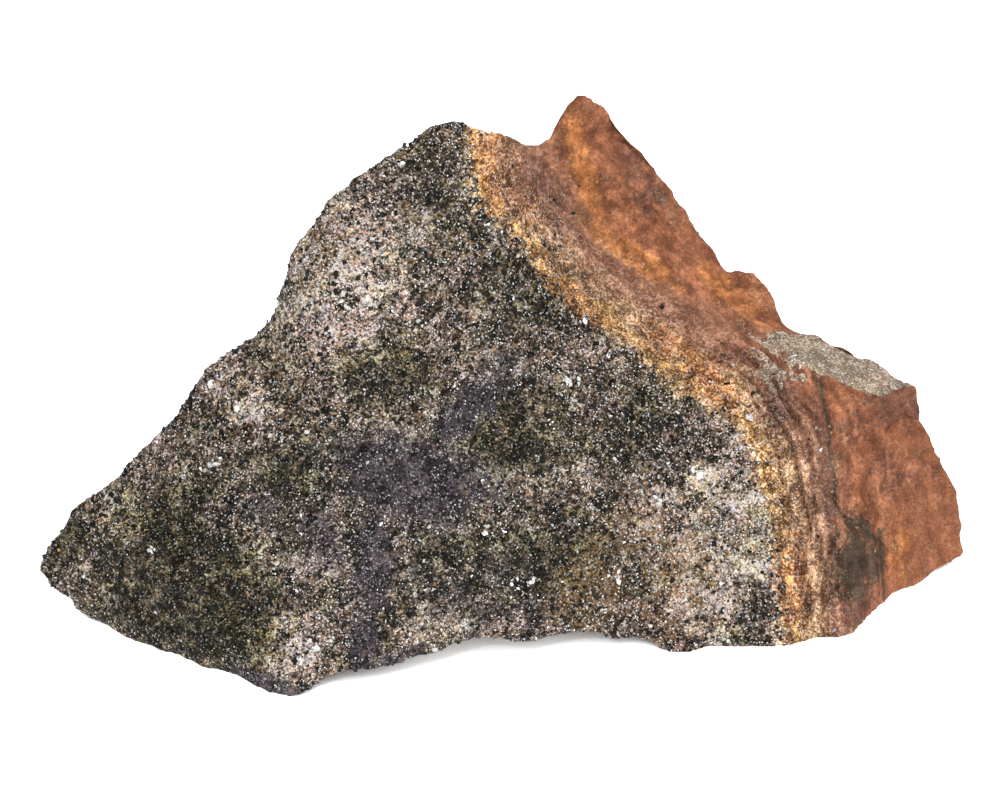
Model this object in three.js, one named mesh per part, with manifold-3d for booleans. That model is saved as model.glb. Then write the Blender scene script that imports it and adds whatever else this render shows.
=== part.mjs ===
// A hand specimen of hornfels, about 95 mm long: a wedge of dark, granular rock with a broken
// front face that leans back, and a rusty weathered rind behind and to the right of it.
// Units are millimetres. +X is the viewer's right, +Y is away from the viewer and +Z is up.
// The stone is one solid. Ten lines run along it from the left tip to the right end, a skin is
// drawn over them, and the skin is then roughened in the way of each kind of surface.

import * as THREE from "three";
import { ImprovedNoise } from "three/addons/math/ImprovedNoise.js";
import { mergeVertices } from "three/addons/utils/BufferGeometryUtils.js";
import Module from "manifold-3d";

const RINGS = 62; // bands of facets from the left tip to the right end
const SMOOTHING_PASSES = 1;
const SMOOTHING_IN = 0.5; // of the way to a corner's neighbours, then back out, so nothing shrinks
const SMOOTHING_OUT = -0.52;
const FACE_LEAN = THREE.MathUtils.degToRad(32); // of the front face, back from the vertical
const GROUND_SINK = 0.5; // how deep the roughened stone dips before its foot is cut flat
const GROUND_SLAB = 140; // side of the block that cuts the foot
const WELD = 1e-3;
const STONE_COLOR = 0x4b443c;

// The lines that shape the stone, in the order in which they go round it. Points are x, y, z.
const LINES = {
  frontFoot: { steps: 5, points: [
    [-47.2, -7.6, 3.6], [-45.4, -8.2, 3.3], [-43.5, -9.6, 0.2], [-40.6, -11.8, 0], [-33.4, -16.2, 0],
    [-25, -21.6, 0], [-22, -24.2, 0], [-19.5, -22.8, 1.2], [-17, -21.7, 2.1], [-13, -21, 2.4],
    [-5.7, -18.6, 2.4], [-1.6, -16.8, 2.7], [8, -14.6, 2.9], [12.2, -15, 1.3], [19.4, -16, 0],
    [29.6, -14.2, 0], [35.8, -12.4, 0], [38.9, -7.2, 0], [45, -2, 0], [48.2, 0.2, 0.5],
  ] },
  faceLow: { steps: 6, points: [
    [-48, -7.4, 4.2], [-40, -11, 6.5], [-30, -16, 8.5], [-20.5, -18.6, 10.5], [-10, -16.5, 9.5],
    [0, -14, 9], [10, -11.8, 9], [19.5, -9.9, 8.6], [27, -9.4, 8], [34, -8.2, 8],
    [39.5, -3.8, 8.5], [47.3, 1.2, 7.6],
  ] },
  faceMiddle: { steps: 10, points: [
    [-48.2, -7, 5.2], [-40.6, -7.5, 10.5], [-34.5, -9, 14], [-28, -10.5, 17], [-16, -12, 20.5],
    [-8, -9.5, 19.5], [2, -7, 19], [12, -4.5, 18], [20, -3.6, 16.5], [25.5, -4.2, 14.8],
    [32, -4, 15.5], [38, -0.6, 15], [45, 1.4, 13.8],
  ] },
  faceTop: { steps: 4, points: [
    [-48, -6.9, 5.6], [-43, -6, 11], [-38, -4.8, 14.8], [-33, -4, 18.8], [-28.5, -3.2, 24.2],
    [-23, -2, 30], [-19, -1, 36], [-15, 1, 38.6], [-9, 2.6, 41.2], [-3, 4.2, 39.5], [2, 4.4, 35],
    [6, 3, 30], [12.2, 1.2, 25.8], [16.3, 0, 22.2], [22.5, -2, 19.2], [26, -1.6, 21.4],
    [30.5, -1, 25.2], [32.9, -0.5, 25], [35, -0.3, 23.8], [38.6, -0.2, 21.4], [42.6, 0.6, 19.4],
  ] },
  shelf: { steps: 5, points: [
    [-47.5, -6.1, 6.4], [-40.8, -4.8, 13.4], [-34.6, -2.8, 19.2], [-26.6, -1.2, 27.2],
    [-23.4, 0, 30], [-21.4, 0.6, 35.8], [-16.5, 3.4, 42.6], [-7, 6, 47.8], [-1, 8, 46.2],
    [2.8, 11.5, 41.4], [6, 13, 36.9], [10.2, 12, 31], [15.3, 11, 28.4], [21.4, 9.5, 26.8],
    [27.6, 7, 24.6], [31.5, 2.4, 25], [34.3, 2.4, 24.4], [38.9, 2.6, 22], [42.1, 3.2, 20.2],
  ] },
  crest: { steps: 5, points: [
    [-47.4, -5.6, 6.6], [-45.2, -5.2, 9.5], [-42.6, -4.2, 12.8], [-38.6, -3.4, 15.2], [-36, -2.6, 19],
    [-33, -1.6, 21.6], [-30.4, -1, 26], [-25.6, 0, 28.6], [-23.3, 0.8, 30.8], [-21.6, 1.8, 36.8],
    [-19.6, 3, 39.8], [-17.5, 4.2, 43.2], [-15.4, 5, 43.2], [-11.2, 6, 47.4], [-7.3, 7.5, 49.6],
    [-5.7, 8, 50], [-3.7, 9, 47.6], [0, 11, 47.1], [2.4, 13, 42.3], [4, 15, 42.8], [5.7, 16, 44.2],
    [6.8, 17, 47.8], [8.4, 17, 47], [10.2, 18, 44.8], [13.6, 18, 41.5], [16.3, 18, 37.4],
    [18.6, 18, 32.6], [21.2, 17, 29], [23, 15.6, 27.6], [25.5, 14, 28.2], [27.6, 12, 26.8],
    [28.8, 9, 24.6], [30.6, 7.2, 24.6], [34.3, 5, 24.9], [38.9, 4.6, 22.6], [41.9, 4.8, 20.2],
  ] },
  backHigh: { steps: 10, points: [
    [-47.3, -4.8, 5.8], [-40, -0.6, 11.8], [-30, 3, 22], [-24, 4.4, 27.2], [-21.2, 5.4, 33],
    [-15, 9.5, 40], [-6, 12.5, 44.4], [1, 15.5, 40.6], [4.5, 18.5, 39.6], [8, 20, 42.4],
    [13, 20.5, 36.4], [18, 20.5, 28.4], [24, 18.5, 23.6], [29, 13.5, 21], [35, 10, 20],
    [41.4, 8.5, 16.8],
  ] },
  backBelly: { steps: 9, points: [
    [-47.2, -4.4, 4.6], [-38, 2.4, 8], [-28, 8.5, 13], [-18, 14.5, 20], [-6, 20, 23], [6, 24, 22],
    [16, 25, 17], [26, 22.5, 13], [35, 17.4, 11], [43, 12, 8.5],
  ] },
  backFoot: { steps: 7, points: [
    [-47, -5.2, 3.4], [-40, 1.5, 0], [-30, 9, 0], [-20, 15, 0], [-8, 20.5, 0], [5, 24, 0],
    [16, 24.5, 0], [27, 21.5, 0], [36, 16.5, 0], [45, 11, 0],
  ] },
  underside: { steps: 7, points: [
    [-47, -6.8, 2.8], [-43, -7.2, 0.6], [-30, -6, 0], [-22, -6, 0], [-12, -2, 2.4], [4, 4, 2.8],
    [16, 4, 1.6], [32, 3, 0.8], [40, 2, 0.2], [46.4, 5.6, 0],
  ] },
};

// Where the fresh dark break gives way to the rusty rind, as x and distance up the leaning face.
const RIND_LINE = [
  [-4.4, 45.7], [-3.6, 40.9], [-3.2, 36.1], [0.9, 33.4], [4, 28.6], [8.1, 25.2], [12.2, 22.4],
  [16.8, 18.3], [22, 15.6], [25.3, 10.6], [27.2, 3.5], [28.4, -7.8],
];

// The step on the right block, down from the banded rind to the smoother red face, likewise.
const STEP_LINE = [[31.8, 26], [32.3, 17.9], [32.9, 13.7], [33.9, 6.5], [34.9, 4.9], [38.7, 2.4],
  [39.3, -12]];
const STEP_HEIGHT = 0.9;

// Relief, as height and wavelength. Swell, lumps and chips are everywhere, pits only on the fresh
// break and ledges only on the rind. Each kind has its own seed. A fold says how far the hollows
// between lumps or chips reach down, and an edge how steep the ledges are.
const SWELL = { height: 0.9, wavelength: 17, seed: 3 };
const LUMPS = { height: 0.6, fold: 4, wavelength: 8.5, seed: 11 };
const CHIPS = { height: 0.21, fold: 3.3, wavelength: 4.4, seed: 17 };
const PITS = { height: 1.6, wavelength: 5.2, threshold: 0.3, seed: 23 };
const LEDGES = { height: 0.35, edge: 2, spacing: 4.6, wander: 1.4, wavelength: 8.5, seed: 31 };
const SEED_SKEW = 1.7; // keeps the kinds of relief from lining up
const RIND_EDGE = { from: -1, to: 1.5 }; // over which the fresh break turns into rind
const DEEPEST_DENT = 0.3; // as a share of the way to the middle of the stone

const noise = new ImprovedNoise();

/** Smooth noise from -1 to 1 whose bumps are about a wavelength apart. */
function bumps(p, { wavelength, seed }) {
  const at = p.clone().divideScalar(wavelength);
  return noise.noise(at.x + seed, at.y + seed * SEED_SKEW, at.z - seed);
}

/** The point a share of the way along a line, by x. */
function pointAt(points, share) {
  const x = THREE.MathUtils.lerp(points[0][0], points[points.length - 1][0], share);
  const next = Math.max(1, points.findIndex((p) => p[0] >= x));
  const [from, to] = [points[next - 1], points[next]];
  const part = (x - from[0]) / (to[0] - from[0]);
  return new THREE.Vector3(...from).lerp(new THREE.Vector3(...to), part);
}

/** One ring of points round the stone, a share of the way along it. */
function ringAt(share) {
  const lines = Object.values(LINES);
  return lines.flatMap((line, i) => {
    const start = pointAt(line.points, share);
    const end = pointAt(lines[(i + 1) % lines.length].points, share);
    return Array.from({ length: line.steps }, (_, k) => start.clone().lerp(end, k / line.steps));
  });
}

/** The skin over all the lines: a tube of small facets round the stone, open at both ends. */
function tube() {
  const rings = Array.from({ length: RINGS + 1 }, (_, i) => ringAt(i / RINGS));
  const n = rings[0].length;
  const points = rings.flat();
  const triangles = [];
  for (let ring = 0; ring < RINGS; ring++) {
    for (let row = 0; row < n; row++) {
      const [a, b] = [ring * n + row, ring * n + ((row + 1) % n)];
      const [c, d] = [a + n, b + n];
      // The shorter diagonal of each patch follows the ridges best.
      if (points[a].distanceTo(points[d]) < points[b].distanceTo(points[c])) {
        triangles.push(a, c, d, a, d, b);
      } else {
        triangles.push(a, c, b, c, d, b);
      }
    }
  }
  return new THREE.BufferGeometry().setFromPoints(points).setIndex(triangles);
}

/** Closes both ends of the tube, each with a fan of facets round its middle. */
function closed(geometry) {
  const { position } = geometry.attributes;
  const points = Array.from({ length: position.count }, (_, i) => {
    return new THREE.Vector3().fromBufferAttribute(position, i);
  });
  const triangles = Array.from(geometry.index.array);
  const n = points.length / (RINGS + 1);
  for (const [first, facesRight] of [[0, false], [RINGS * n, true]]) {
    const ring = points.slice(first, first + n);
    const middle = points.length;
    points.push(ring.reduce((sum, p) => sum.add(p), new THREE.Vector3()).divideScalar(n));
    for (let row = 0; row < n; row++) {
      const edge = [first + row, first + ((row + 1) % n)];
      triangles.push(middle, ...(facesRight ? edge.reverse() : edge));
    }
  }
  return new THREE.BufferGeometry().setFromPoints(points).setIndex(triangles);
}

/** How far p lies to the right of a line up the leaning face, in mm; to its left is negative. */
function rightOf(line, p) {
  const here = new THREE.Vector2(p.x, p.y * Math.sin(FACE_LEAN) + p.z * Math.cos(FACE_LEAN));
  let [nearest, side] = [Infinity, 1];
  for (let i = 1; i < line.length; i++) {
    const start = new THREE.Vector2(...line[i - 1]);
    const run = new THREE.Vector2(...line[i]).sub(start);
    const offset = here.clone().sub(start);
    const along = THREE.MathUtils.clamp(offset.dot(run) / run.lengthSq(), 0, 1);
    const gap = offset.addScaledVector(run, -along);
    if (gap.length() < nearest) {
      nearest = gap.length();
      side = run.cross(gap) > 0 ? 1 : -1;
    }
  }
  return nearest * side;
}

/** Height of the natural roughness at p, out from the middle of the stone. */
function reliefAt(p) {
  const depth = rightOf(RIND_LINE, p);
  const weathered = THREE.MathUtils.smoothstep(depth, RIND_EDGE.from, RIND_EDGE.to);
  const swell = SWELL.height * bumps(p, SWELL);
  // Folding the noise about zero gives lumps and chips sharp crests with hollows between them.
  const lumps = LUMPS.height * (1 - LUMPS.fold * Math.abs(bumps(p, LUMPS)));
  const chips = CHIPS.height * (1 - CHIPS.fold * Math.abs(bumps(p, CHIPS)));
  const pits = PITS.height * Math.max(0, bumps(p, PITS) - PITS.threshold) * (1 - weathered);
  const bed = (depth + LEDGES.wander * bumps(p, LEDGES)) / LEDGES.spacing;
  const ledges = LEDGES.height * Math.tanh(LEDGES.edge * Math.sin(bed * 2 * Math.PI)) * weathered;
  const halfStep = STEP_HEIGHT / 2;
  const step = STEP_HEIGHT * THREE.MathUtils.smoothstep(rightOf(STEP_LINE, p), -halfStep, halfStep);
  return swell + lumps + chips - pits + ledges - step;
}

/**
 * Moves every corner but those of the open ends towards the middle of its neighbours by share,
 * which may be negative.
 */
function relax(geometry, share) {
  const { position } = geometry.attributes;
  const corners = geometry.index.array;
  const sums = Array.from({ length: position.count }, () => new THREE.Vector4());
  for (let i = 0; i < corners.length; i++) {
    const [from, to] = [corners[i], corners[i % 3 === 2 ? i - 2 : i + 1]];
    sums[from].add(new THREE.Vector4(position.getX(to), position.getY(to), position.getZ(to), 1));
  }
  const p = new THREE.Vector3();
  const n = position.count / (RINGS + 1);
  sums.forEach((sum, i) => {
    if (i < n || i >= RINGS * n) return;
    p.fromBufferAttribute(position, i);
    p.lerp(new THREE.Vector3(sum.x, sum.y, sum.z).divideScalar(sum.w), share);
    position.setXYZ(i, p.x, p.y, p.z);
  });
}

/** The skin with its ridges a little rounded and its facets evened out. */
function smoothed(geometry) {
  for (let pass = 0; pass < SMOOTHING_PASSES; pass++) {
    relax(geometry, SMOOTHING_IN);
    relax(geometry, SMOOTHING_OUT);
  }
  return geometry;
}

/**
 * Moves each corner of the smooth stone straight out from the middle of its ring, or in, by the
 * relief there. Neighbours move the same way, so sharp ridges and thin edges don't fold over.
 */
function roughened(geometry) {
  const { position } = geometry.attributes;
  const points = Array.from({ length: position.count }, (_, i) => {
    return new THREE.Vector3().fromBufferAttribute(position, i);
  });
  const n = points.length / (RINGS + 1);
  for (let first = 0; first < points.length; first += n) {
    const ring = points.slice(first, first + n);
    const middle = ring.reduce((sum, p) => sum.add(p), new THREE.Vector3()).divideScalar(n);
    ring.forEach((p, k) => {
      const out = new THREE.Vector3(0, p.y - middle.y, p.z - middle.z);
      const relief = Math.max(reliefAt(p), -DEEPEST_DENT * out.length());
      p.addScaledVector(out.normalize(), relief);
      position.setXYZ(first + k, p.x, p.y, p.z - GROUND_SINK);
    });
  }
  return geometry;
}

const wasm = await Module();
wasm.setup();

/** A closed geometry as a solid that can be cut. */
function solidOf(geometry) {
  const welded = mergeVertices(geometry, WELD);
  return new wasm.Manifold(new wasm.Mesh({
    numProp: 3,
    vertProperties: new Float32Array(welded.attributes.position.array),
    triVerts: new Uint32Array(welded.index.array),
  }));
}

/** A solid back as a geometry. */
function geometryOf(solid) {
  const mesh = solid.getMesh();
  return new THREE.BufferGeometry()
    .setAttribute("position", new THREE.BufferAttribute(new Float32Array(mesh.vertProperties), 3))
    .setIndex(new THREE.BufferAttribute(new Uint32Array(mesh.triVerts), 1));
}

/** The part of the geometry above the ground, which leaves the flat spots that it rests on. */
function cutAtGround(geometry) {
  const slab = new THREE.BoxGeometry(GROUND_SLAB, GROUND_SLAB, GROUND_SLAB);
  slab.translate(0, 0, -GROUND_SLAB / 2);
  for (const name of ["normal", "uv"]) slab.deleteAttribute(name);
  return geometryOf(solidOf(geometry).subtract(solidOf(slab)));
}

/** The stone with its origin under the middle of its box, on the ground. */
function centred(geometry) {
  geometry.computeBoundingBox();
  const middle = geometry.boundingBox.getCenter(new THREE.Vector3());
  return geometry.translate(-middle.x, -middle.y, -geometry.boundingBox.min.z);
}

const stone = new THREE.Mesh(
  centred(cutAtGround(closed(roughened(smoothed(tube()))))),
  new THREE.MeshStandardMaterial({ color: STONE_COLOR, roughness: 0.8, metalness: 0 }),
);
stone.name = "hornfels";

const specimen = new THREE.Group();
specimen.add(stone);

export default specimen;
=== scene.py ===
"""A hand specimen of hornfels: dark granular rock with a rusty weathered rind.

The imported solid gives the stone's form and its place. A fine skin is drawn over it, mineral grains
are set into the skin, and the stone stands on a plain white floor in soft light. Lengths are in
metres unless a name says otherwise. Places on the leaning front face are given in pixels of the
photograph's frame, which is 1000 wide and 801 high.
"""
import logging
import math
from dataclasses import dataclass, field
from enum import Enum
from typing import Any, Sequence

import bpy
import numpy as np
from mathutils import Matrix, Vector


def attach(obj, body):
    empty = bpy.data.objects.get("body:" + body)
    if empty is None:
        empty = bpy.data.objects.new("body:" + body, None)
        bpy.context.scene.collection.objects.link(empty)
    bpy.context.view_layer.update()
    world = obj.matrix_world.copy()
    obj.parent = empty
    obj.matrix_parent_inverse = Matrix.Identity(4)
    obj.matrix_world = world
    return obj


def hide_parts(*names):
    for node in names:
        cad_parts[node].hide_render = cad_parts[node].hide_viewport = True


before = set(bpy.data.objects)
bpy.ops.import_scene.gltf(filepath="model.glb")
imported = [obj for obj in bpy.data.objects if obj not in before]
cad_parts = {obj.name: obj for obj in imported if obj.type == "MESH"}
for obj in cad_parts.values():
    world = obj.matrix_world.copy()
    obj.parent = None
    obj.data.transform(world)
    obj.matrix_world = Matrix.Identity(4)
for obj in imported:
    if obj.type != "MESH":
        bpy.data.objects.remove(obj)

MM = 0.001
FRAME_WIDTH_PX = 1000
FACE_LEAN = math.radians(32)
FACE_OUTWARDS = np.array([0.0, -math.cos(FACE_LEAN), math.sin(FACE_LEAN)])
FACE_BACK_MM = 19.0
BACK_STARTS_MM = 17.0
PX_PER_MM = 9.75
MIDDLE_X_PX = 501.0
GROUND_FRONT_PX = 563.8
SEED = 41

Color = tuple[float, float, float]
Point = tuple[float, float, float]
Spot = tuple[float, float]
Socket = bpy.types.NodeSocket
Node = bpy.types.Node
Stops = Sequence[tuple[float, Color]]

log = logging.getLogger("hornfels")


class Stain(Enum):
    """The kinds of patch that show on the stone, each kept on the skin as an attribute; some of them
    also paint shade or light.
    """

    PALE = "pale"
    VIOLET = "violet"
    OLIVE = "olive"
    RUST = "rust"
    AMBER = "amber"
    # Dark red-brown stain, partly painted shade on facets that turn away from the light.
    MAROON_AND_SHADE = "maroon_and_shade"


@dataclass(frozen=True)
class Patch:
    """An oval on the front of the stone, placed in pixels of the photograph's frame."""

    u: float
    v: float
    half_width: float
    half_height: float
    turn: float = 0.0
    strength: float = 1.0


PATCHES: dict[Stain, tuple[Patch, ...]] = {
    Stain.PALE: (
        Patch(335, 275, 62, 100, -12, 0.92), Patch(338, 322, 30, 34, 0, 0.4),
        Patch(240, 400, 45, 26, 40, 0.7), Patch(285, 645, 50, 40, -20, 0.6),
        Patch(432, 622, 44, 20, -20, 0.75), Patch(716, 540, 44, 78, 20, 1.3),
        Patch(742, 430, 24, 36, 10, 0.9), Patch(120, 500, 50, 24, 38, 0.55),
        Patch(690, 490, 50, 22, -30, 0.8),
    ),
    Stain.VIOLET: (
        Patch(410, 478, 78, 40, 12), Patch(470, 405, 56, 22, -45, 0.7),
        Patch(500, 372, 26, 20, -20, 0.6), Patch(372, 560, 20, 60, -4),
        Patch(365, 630, 16, 40, 12, 0.9), Patch(300, 525, 70, 24, 22, 0.68),
        Patch(475, 590, 85, 45, 0, 0.4), Patch(268, 684, 64, 14, 12, 1.1),
        Patch(400, 652, 70, 9, -16, 0.65),
    ),
    Stain.OLIVE: (
        Patch(190, 590, 85, 58, 25, 1.5), Patch(165, 520, 60, 38, -30, 0.8),
        Patch(60, 540, 22, 40, 20, 0.8), Patch(510, 430, 55, 34, -20, 1.15),
        Patch(525, 285, 50, 66, -40, 0.6), Patch(640, 420, 70, 42, -35, 0.6),
        Patch(430, 175, 50, 50, 20, 0.35), Patch(545, 560, 80, 50, 0, 0.75),
        Patch(300, 470, 50, 30, 20, 0.7), Patch(384, 372, 44, 32, 0, 1.1),
        # Patch(852, 562) lies on the right block, where it paints shade on a facet that turns left
        # and down.
        Patch(455, 562, 60, 34, 0, 0.65), Patch(852, 562, 24, 44, 14, 1.0),
    ),
    Stain.RUST: (
        Patch(585, 590, 42, 34, 0, 0.9), Patch(680, 585, 36, 60, 15, 1.1),
        Patch(335, 240, 40, 30, 0, 0.6), Patch(640, 520, 55, 26, -20, 0.6),
    ),
    Stain.AMBER: (
        Patch(580, 165, 10, 60, -14, 1.15), Patch(490, 165, 20, 50, -12, 0.8),
        Patch(520, 205, 16, 34, -35, 0.7), Patch(630, 254, 11, 66, -55),
        Patch(730, 292, 12, 44, -50, 0.9), Patch(560, 290, 13, 62, -42, 0.9),
        Patch(690, 368, 18, 62, -48, 0.9), Patch(786, 585, 20, 52, 0, 0.75),
        # The last patch lightens the low right face, partly as painted light.
        Patch(902, 556, 20, 34, 0, 0.5),
    ),
    # Dark red-brown stain, and painted shade on the fin's right side, along the step and on the
    # upper and low right facets.
    Stain.MAROON_AND_SHADE: (
        Patch(634, 175, 20, 50, -28, 0.65), Patch(545, 200, 22, 52, -25, 0.7),
        Patch(508, 185, 14, 44, -20, 0.8), Patch(788, 592, 24, 46, 0, 0.3),
        Patch(855, 574, 24, 58, 10, 0.95), Patch(820, 450, 8, 90, -6, 1.4),
        Patch(895, 405, 36, 28, 0, 0.7), Patch(858, 440, 26, 50, -8, 0.35),
        Patch(900, 470, 36, 30, 0, 0.5), Patch(770, 400, 18, 34, -20, 0.8),
    ),
}


@dataclass(frozen=True)
class Wedge:
    """Flats that meet at sharp edges, and the oval on the face over which they rule."""

    flats: tuple[tuple[Point, Point], ...]
    outwards: Point
    oval: Patch
    fade: float = 0.25


WEDGES: tuple[Wedge, ...] = (
    Wedge(
        flats=(
            ((34.2, 2.6, 23.1), (0.36, -0.06, 0.93)),
            ((30.3, -7.1, 12.6), (-0.03, -0.87, 0.50)),
            ((37.3, -3.5, 12.0), (0.44, -0.88, 0.19)),
        ),
        outwards=(0.30, -0.60, 0.74),
        oval=Patch(850, 430, 84, 125, -8),
    ),
    Wedge(
        flats=(((39.2, -0.6, 19.0), (0.68, -0.73, -0.06)),),
        outwards=(0.45, -0.80, 0.30),
        oval=Patch(899, 414, 36, 30, 10),
        fade=0.2,
    ),
    Wedge(
        flats=(
            ((7.3, 13.8, 39.4), (0.16, -0.97, 0.15)),
            ((16.1, 13.2, 32.7), (0.46, -0.66, 0.60)),
        ),
        outwards=(0.35, -0.85, 0.40),
        oval=Patch(625, 185, 60, 92, -38),
        fade=0.4,
    ),
)

RIND_EDGE_PX: tuple[Spot, ...] = (
    (452, 60), (458, 118), (466, 165), (472, 212), (510, 240), (540, 287), (580, 320), (620, 347),
    (665, 385), (715, 412), (748, 460), (766, 530), (778, 640), (784, 720),
)
STEP_PX: tuple[Spot, ...] = (
    (812, 300), (816, 389), (822, 430), (832, 500), (841, 516), (878, 540), (884, 600), (886, 700),
)
CREASE_PX: tuple[Spot, ...] = (
    (528, 100), (532, 150), (560, 195), (600, 245), (650, 275), (710, 300), (770, 330), (800, 345),
)


@dataclass(frozen=True)
class StoneFinish:
    """Colours of the stone, as mixtures of minerals and as bands of the rind, with painted glints,
    painted light and painted shade.
    """

    minerals: Stops = (
        (0.0, (0.003, 0.003, 0.002)),
        (0.24, (0.009, 0.009, 0.006)),
        (0.34, (0.028, 0.025, 0.017)),
        (0.47, (0.080, 0.062, 0.045)),
        (0.60, (0.142, 0.111, 0.081)),
        (0.72, (0.245, 0.208, 0.162)),
        (0.86, (0.44, 0.395, 0.33)),
        (1.0, (0.68, 0.66, 0.62)),
    )
    rind_bands: Stops = (
        (0.0, (0.35, 0.218, 0.110)),
        (0.05, (0.42, 0.218, 0.074)),
        (0.10, (0.31, 0.178, 0.100)),
        (0.15, (0.36, 0.202, 0.108)),
        (0.21, (0.23, 0.115, 0.072)),
        (0.28, (0.27, 0.130, 0.075)),
        (0.36, (0.285, 0.110, 0.054)),
        (0.55, (0.265, 0.101, 0.050)),
        (1.0, (0.25, 0.092, 0.046)),
    )
    rind_streaks: Stops = (
        (0.34, (0.36, 0.30, 0.29)),
        (0.45, (0.74, 0.67, 0.66)),
        (0.53, (1.08, 1.05, 1.0)),
        (0.62, (1.55, 1.62, 1.55)),
        (0.72, (2.1, 2.5, 2.6)),
    )
    rind_specks: Stops = (
        (0.28, (0.22, 0.20, 0.19)),
        (0.38, (0.62, 0.60, 0.58)),
        (0.50, (1.0, 1.0, 1.0)),
        (0.62, (1.55, 1.65, 1.7)),
        (0.74, (2.4, 2.9, 3.5)),
    )
    rind_span_mm: float = 26.0
    # Colour of the painted glints: white points in the base colour that stand in for highlights off
    # cleavage faces.
    glint: Color = (0.93, 0.92, 0.90)
    violet: Color = (0.038, 0.032, 0.043)
    olive: Color = (0.92, 1.03, 0.84)
    rust: Color = (0.30, 0.155, 0.060)
    amber: Color = (0.47, 0.180, 0.054)
    gold: Color = (0.45, 0.30, 0.165)
    # Dark red-brown for the stain and for painted shade on facets that turn away.
    maroon_and_shade: Color = (0.095, 0.044, 0.034)
    # Dark olive-black: the olive patches where they reach the rind, and painted shade on the low
    # right facet and along the step.
    soot_and_painted_shade: Color = (0.046, 0.040, 0.026)
    mauve: Color = (0.272, 0.127, 0.079)
    # Grey of the ledge, partly its own silvery colour and partly painted light on the up-facing top.
    silver_and_painted_light: Color = (0.53, 0.43, 0.31)
    pale_shift: float = 0.275
    olive_shift: float = -0.14
    # How much lighter the ledge is, partly its paler grey and partly painted light from above.
    ledge_pale_and_painted_light_shift: float = 0.15
    silver_and_painted_light_share: float = 0.33
    violet_share: float = 0.86
    rust_share: float = 0.5
    amber_share: float = 0.62
    maroon_and_shade_share: float = 0.65
    soot_and_painted_shade_share: float = 0.75
    gleam: float = 0.14


@dataclass(frozen=True)
class GrainFinish:
    """Colour and gloss of one kind of loose grain: dark and light ends of its colour."""

    dark: Color
    light: Color
    roughness: float
    metallic: float = 0.0


class GrainKind(Enum):
    """The minerals that stand out of the skin as grains of their own."""

    QUARTZ = "quartz_grains"
    BIOTITE = "biotite_grains"
    MICA = "mica_flakes"
    OCHRE = "ochre_grains"
    CRYSTAL = "large_crystals"


def deselect_all() -> None:
    """Leaves object mode with nothing selected."""
    if bpy.context.object and bpy.context.object.mode != "OBJECT":
        bpy.ops.object.mode_set(mode="OBJECT")
    bpy.ops.object.select_all(action="DESELECT")


def select_only(piece: bpy.types.Object) -> None:
    """Makes a piece the only selected object and the active one.

    Args:
        piece: The object to select.
    """
    deselect_all()
    piece.select_set(True)
    bpy.context.view_layer.objects.active = piece


def apply_modifier(piece: bpy.types.Object, kind: str, **settings: Any) -> None:
    """Adds a modifier to a piece and applies it.

    Args:
        piece: The object to change.
        kind: The modifier's type.
        **settings: Values for the modifier's own fields.
    """
    select_only(piece)
    modifier = piece.modifiers.new(kind.title(), kind)
    for name, value in settings.items():
        setattr(modifier, name, value)
    bpy.ops.object.modifier_apply(modifier=modifier.name)


def rows_of(items: Any, name: str, width: int = 3, kind: type = np.float32) -> np.ndarray:
    """Reads one field of all the parts of a mesh.

    Args:
        items: The mesh's corners or faces.
        name: The field's name.
        width: How many numbers it has.
        kind: The type of number to keep.

    Returns:
        One row per part.
    """
    flat = np.empty(len(items) * width, dtype=kind)
    items.foreach_get(name, flat)
    return flat.reshape(-1, width)


def points_of(piece: bpy.types.Object) -> np.ndarray:
    """Reads a piece's corners."""
    return rows_of(piece.data.vertices, "co")


def normals_of(piece: bpy.types.Object) -> np.ndarray:
    """Reads the outward direction at each of a piece's corners."""
    return rows_of(piece.data.vertex_normals, "vector")


def move_corners(piece: bpy.types.Object, points: np.ndarray) -> None:
    """Moves a piece's corners.

    Args:
        piece: The piece.
        points: Their new places.
    """
    piece.data.vertices.foreach_set("co", points.astype(np.float32).ravel())
    piece.data.update()


def on_face(points: np.ndarray) -> np.ndarray:
    """Places points on the leaning face, as seen square on.

    Args:
        points: Rows of x, y, z.

    Returns:
        Rows of pixels across and down the photograph's frame.
    """
    rise = points[:, 1] * math.sin(FACE_LEAN) + points[:, 2] * math.cos(FACE_LEAN)
    across = MIDDLE_X_PX + points[:, 0] / MM * PX_PER_MM
    return np.stack([across, GROUND_FRONT_PX - rise / MM * PX_PER_MM], axis=1)


def behind_face(points: np.ndarray) -> np.ndarray:
    """Measures how far points lie behind the plane of the leaning face.

    Args:
        points: Rows of x, y, z.

    Returns:
        Depths in millimetres.
    """
    deep = points[:, 1] * math.cos(FACE_LEAN) - points[:, 2] * math.sin(FACE_LEAN)
    return deep / MM + FACE_BACK_MM


def clamp(values: np.ndarray) -> np.ndarray:
    """Keeps values from 0 to 1."""
    return np.clip(values, 0.0, 1.0)


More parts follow.
